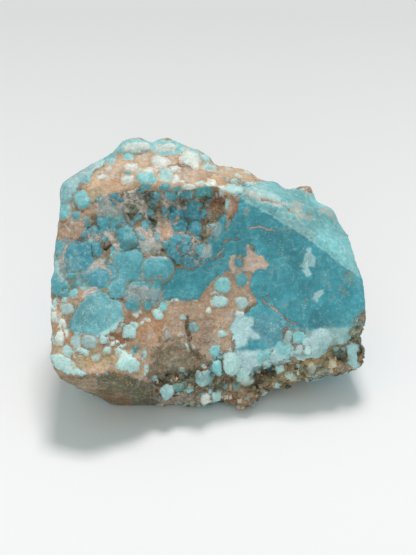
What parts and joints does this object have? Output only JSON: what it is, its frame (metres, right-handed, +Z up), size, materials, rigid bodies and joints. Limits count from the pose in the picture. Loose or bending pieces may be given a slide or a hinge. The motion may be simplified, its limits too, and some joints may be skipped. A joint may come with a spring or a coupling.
{
  "type": "raw turquoise nugget",
  "caption": "Rough block of raw turquoise with a leaning broken face, crisp ridge, nodular cap, crust and pits, flat where it stands.",
  "frame": {"origin": "middle of the footprint box, on the flat break that the nugget stands on", "axes": "+Z up; +X to the right along the nugget's length, seen from its broken face; -Y towards whoever looks at that face"},
  "size_m": [0.079, 0.0636, 0.0531],
  "materials": {
    "turquoise": "raw, waxy matt on clean breaks, rough brown matrix between the nodules and in the crust"
  },
  "bodies": {
    "root": {"nugget": "turquoise"}
  },
  "joints": []
}
